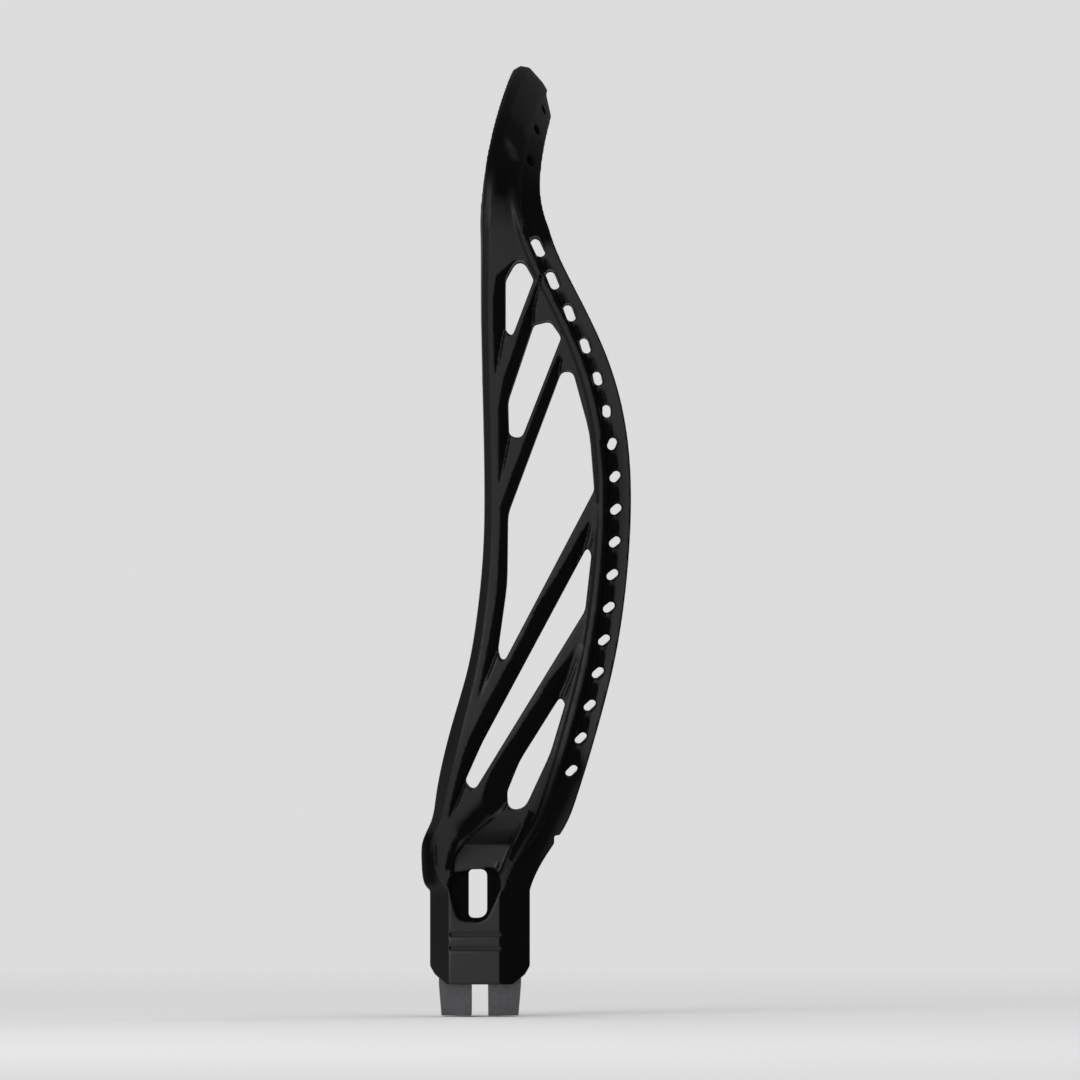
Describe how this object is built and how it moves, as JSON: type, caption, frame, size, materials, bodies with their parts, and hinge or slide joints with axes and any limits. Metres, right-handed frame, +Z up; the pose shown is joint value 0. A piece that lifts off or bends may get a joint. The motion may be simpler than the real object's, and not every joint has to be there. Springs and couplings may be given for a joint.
{
  "type": "lacrosse head",
  "caption": "Unstrung moulded lacrosse head with lattice sidewalls, a scoop, a ball stop with its pad, and a shaft socket with a sliding lock sleeve.",
  "frame": {"origin": "centre of the socket's mouth, on the shaft's axis", "axes": "+Z up the shaft's axis towards the scoop, -X the open face, +X the pocket side, Y across the head"},
  "size_m": [0.0733, 0.165, 0.3324],
  "materials": {
    "black_nylon": "satin moulded nylon",
    "grey_nylon": "milky translucent nylon",
    "black_foam": "closed-cell foam"
  },
  "bodies": {
    "head": {"scoop": "black_nylon", "left_sidewall": "black_nylon", "right_sidewall": "black_nylon", "throat": "black_nylon", "collar": "black_nylon", "ball_stop_pad": "black_foam"},
    "sleeve": {"lock_sleeve": "grey_nylon"}
  },
  "joints": [
    {"name": "sleeve_slide", "type": "slide", "parent": "head", "child": "sleeve", "axis": [0, 0, 1], "range_m": [0, 0.01]}
  ]
}
